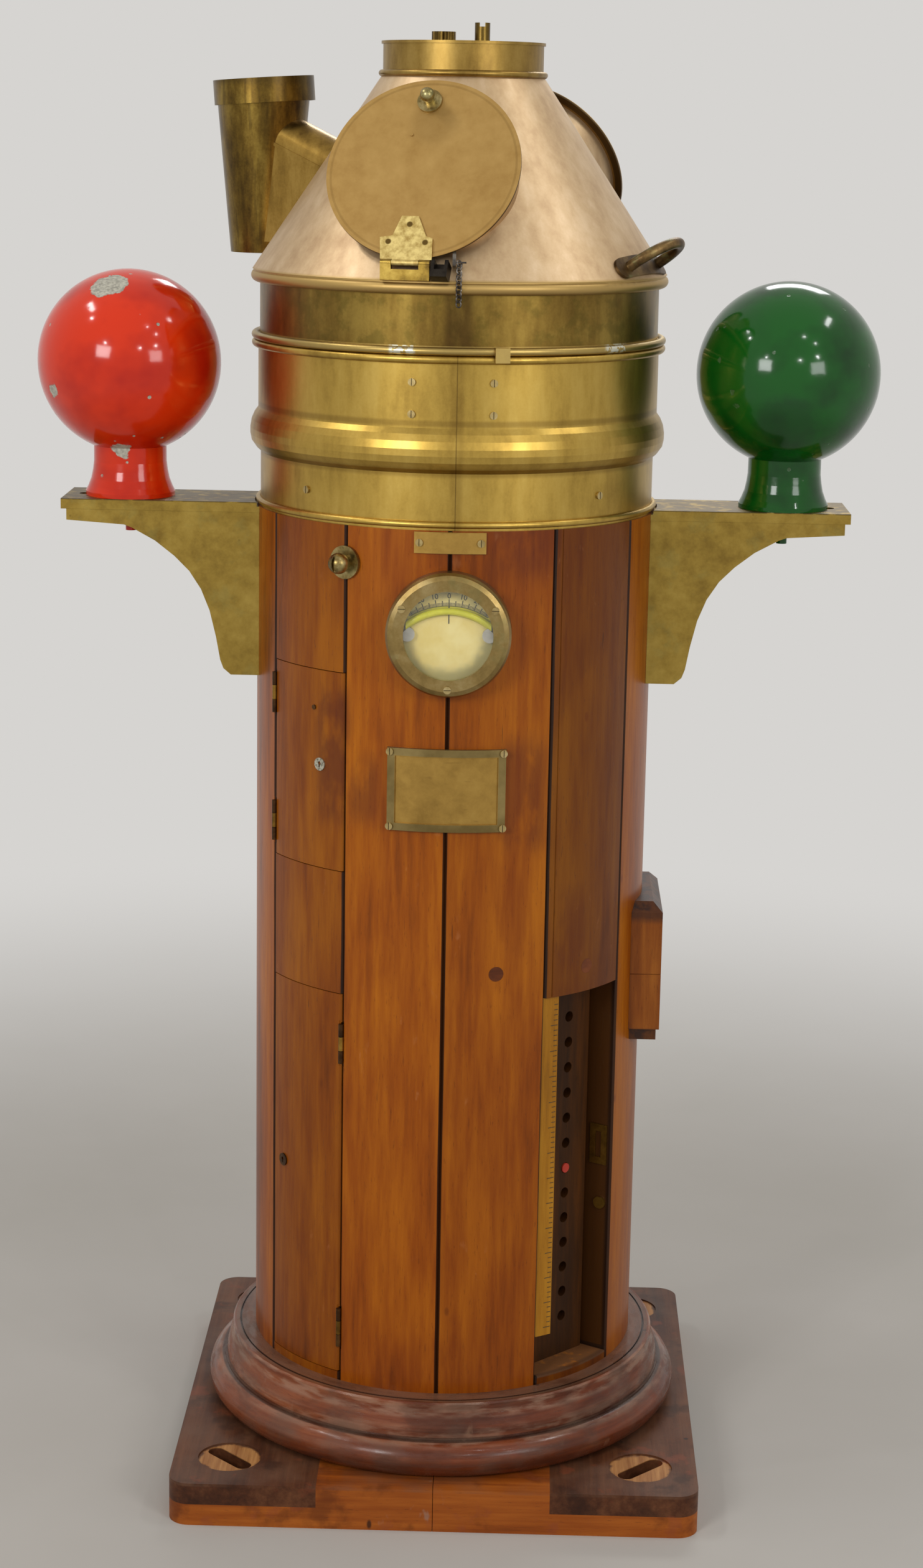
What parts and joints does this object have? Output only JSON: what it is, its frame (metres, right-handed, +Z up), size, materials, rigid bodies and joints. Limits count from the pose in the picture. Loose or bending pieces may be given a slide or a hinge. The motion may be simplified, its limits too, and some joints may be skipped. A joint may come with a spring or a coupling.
{
  "type": "ship binnacle",
  "caption": "Free-standing ship binnacle: staved wooden pedestal with brass bowl case, gimballed compass, conical lift-off hood with window doors and side lamp, and sliding corrector spheres.",
  "frame": {"origin": "centre of the base board's footprint, on the floor", "axes": "+Z up, -Y the front that carries the clinometer, +X the side with the green sphere"},
  "size_m": [0.787, 0.496, 1.3713],
  "materials": {
    "case_brass": "old yellow brass, dull polish",
    "hood_brass": "tan-pink brass, satin",
    "door_brass": "warm brass, satin",
    "lamp_brass": "dark brown brass",
    "bracket_brass": "cast brass with a green patina",
    "fittings_brass": "handled brass",
    "stave_wood": "varnished orange-brown",
    "bay_wood": "varnished orange-brown",
    "rail_dark": "worn dark red-brown",
    "rail_orange": "worn orange-brown",
    "moulding_wood": "worn dark red-brown varnish",
    "inner_wood": "bare brown",
    "rack_wood": "near-black stain",
    "boxwood": "yellow boxwood",
    "plug_wood": "darker end grain",
    "magnet_red": "red painted steel",
    "sphere_red": "gloss red, chipped",
    "sphere_green": "gloss green",
    "dial_cream": "cream enamel",
    "tube_yellow": "glass tube of yellow spirit",
    "clear_glass": "clear",
    "card_white": "printed card",
    "chain_steel": "dark plated steel",
    "clip_black": "blackened spring steel"
  },
  "bodies": {
    "pedestal": {"base_side_rails": "rail_dark", "base_cross_rails": "rail_orange", "base_torus": "moulding_wood", "base_ogee": "moulding_wood", "staves": "stave_wood", "bay_staves": "bay_wood", "pedestal_floor": "inner_wood", "pedestal_shelf": "inner_wood", "pedestal_deck": "inner_wood", "rack_boards": "rack_wood", "scale_strip": "boxwood", "jamb_fittings": "fittings_brass", "wood_plugs": "plug_wood", "side_block": "bay_wood", "large_plate": "fittings_brass", "small_plate": "fittings_brass", "clinometer_case": "case_brass", "clinometer_dial": "dial_cream", "clinometer_tube": "tube_yellow", "clinometer_glass": "clear_glass", "fitting_screws": "fittings_brass", "bowl_case": "case_brass", "gimbal_bearings": "bracket_brass", "heeling_tube": "case_brass", "bracket_left": "bracket_brass", "bracket_right": "bracket_brass"},
    "upper_door": {"upper_door": "bay_wood", "upper_door_brass": "fittings_brass"},
    "lower_door": {"lower_door": "bay_wood", "lower_door_brass": "fittings_brass"},
    "magnet": {"corrector_magnet": "magnet_red"},
    "seam_knob": {"pedestal_knob": "fittings_brass"},
    "gimbal": {"gimbal_ring": "fittings_brass"},
    "compass": {"compass_bowl": "case_brass", "compass_glass": "clear_glass"},
    "card": {"compass_card": "card_white"},
    "bucket": {"heeling_bucket": "bracket_brass"},
    "hood": {"hood_cone": "hood_brass", "hood_skirt": "case_brass", "hood_collar": "case_brass", "fork_post": "lamp_brass", "window_frames": "hood_brass", "window_glasses": "clear_glass", "hinge_leaves": "fittings_brass", "catch_clip": "clip_black", "retaining_chain": "chain_steel", "hood_handle": "bracket_brass", "lamp_duct": "lamp_brass", "lamp_tube": "lamp_brass", "oil_lamp": "case_brass"},
    "top_screw": {"knurled_cap": "lamp_brass"},
    "lamp_lid": {"lamp_cap": "lamp_brass"},
    "front_window_door": {"front_door": "door_brass"},
    "front_window_knob": {"front_door_knob": "fittings_brass"},
    "rear_window_door": {"rear_door": "door_brass"},
    "rear_window_knob": {"rear_door_knob": "fittings_brass"},
    "left_sphere": {"sphere_left": "sphere_red", "sphere_foot_left": "sphere_red"},
    "right_sphere": {"sphere_right": "sphere_green", "sphere_foot_right": "sphere_green"}
  },
  "joints": [
    {"name": "upper_door_hinge", "type": "hinge", "parent": "pedestal", "child": "upper_door", "pos_m": [-0.16261, -0.09435, 0.704], "axis": [0, 0, -1], "range_deg": [0, 110]},
    {"name": "lower_door_hinge", "type": "hinge", "parent": "pedestal", "child": "lower_door", "pos_m": [-0.09435, -0.16261, 0.306], "axis": [0, 0, 1], "range_deg": [0, 110]},
    {"name": "magnet_draw", "type": "slide", "parent": "pedestal", "child": "magnet", "axis": [0.7071, -0.7071, 0], "range_m": [0, 0.21]},
    {"name": "seam_knob_turn", "type": "hinge", "parent": "pedestal", "child": "seam_knob", "pos_m": [-0.0935, -0.16195, 0.898], "axis": [-0.5, -0.866, 0], "range_deg": [-90, 90]},
    {"name": "gimbal_roll", "type": "hinge", "parent": "pedestal", "child": "gimbal", "pos_m": [0, 0, 1.047], "axis": [0, 1, 0], "range_deg": [-25, 25]},
    {"name": "gimbal_pitch", "type": "hinge", "parent": "gimbal", "child": "compass", "pos_m": [0, 0, 1.047], "axis": [1, 0, 0], "range_deg": [-25, 25]},
    {"name": "card_spin", "type": "hinge", "parent": "compass", "child": "card", "pos_m": [0, 0, 1.059], "axis": [0, 0, 1], "continuous": true},
    {"name": "heeling_lift", "type": "slide", "parent": "pedestal", "child": "bucket", "axis": [0, 0, 1], "range_m": [-0.155, 0.165]},
    {"name": "hood_lift", "type": "slide", "parent": "pedestal", "child": "hood", "axis": [0, 0, 1], "range_m": [0, 0.3]},
    {"name": "top_screw_turn", "type": "hinge", "parent": "hood", "child": "top_screw", "pos_m": [-0.0184, 0, 1.36], "axis": [0, 0, 1], "continuous": true},
    {"name": "lamp_lid_lift", "type": "slide", "parent": "hood", "child": "lamp_lid", "axis": [-0.0698, 0, 0.9976], "range_m": [0, 0.12]},
    {"name": "front_door_hinge", "type": "hinge", "parent": "hood", "child": "front_window_door", "pos_m": [-0.04005, -0.18843, 1.16371], "axis": [0.9781, -0.2079, 0], "range_deg": [0, 110]},
    {"name": "front_knob_turn", "type": "hinge", "parent": "front_window_door", "child": "front_window_knob", "pos_m": [-0.02619, -0.11021, 1.29998], "axis": [-0.181, -0.8514, 0.4924], "range_deg": [0, 90]},
    {"name": "rear_door_hinge", "type": "hinge", "parent": "hood", "child": "rear_window_door", "pos_m": [0.09632, 0.16683, 1.16371], "axis": [-0.866, 0.5, 0], "range_deg": [0, 110]},
    {"name": "rear_knob_turn", "type": "hinge", "parent": "rear_window_door", "child": "rear_window_knob", "pos_m": [0.05896, 0.09672, 1.29998], "axis": [0.4352, 0.7538, 0.4924], "range_deg": [0, 90]},
    {"name": "left_sphere_slide", "type": "slide", "parent": "pedestal", "child": "left_sphere", "axis": [-1, 0, 0], "range_m": [-0.024, 0.041]},
    {"name": "right_sphere_slide", "type": "slide", "parent": "pedestal", "child": "right_sphere", "axis": [1, 0, 0], "range_m": [-0.024, 0.041]}
  ]
}
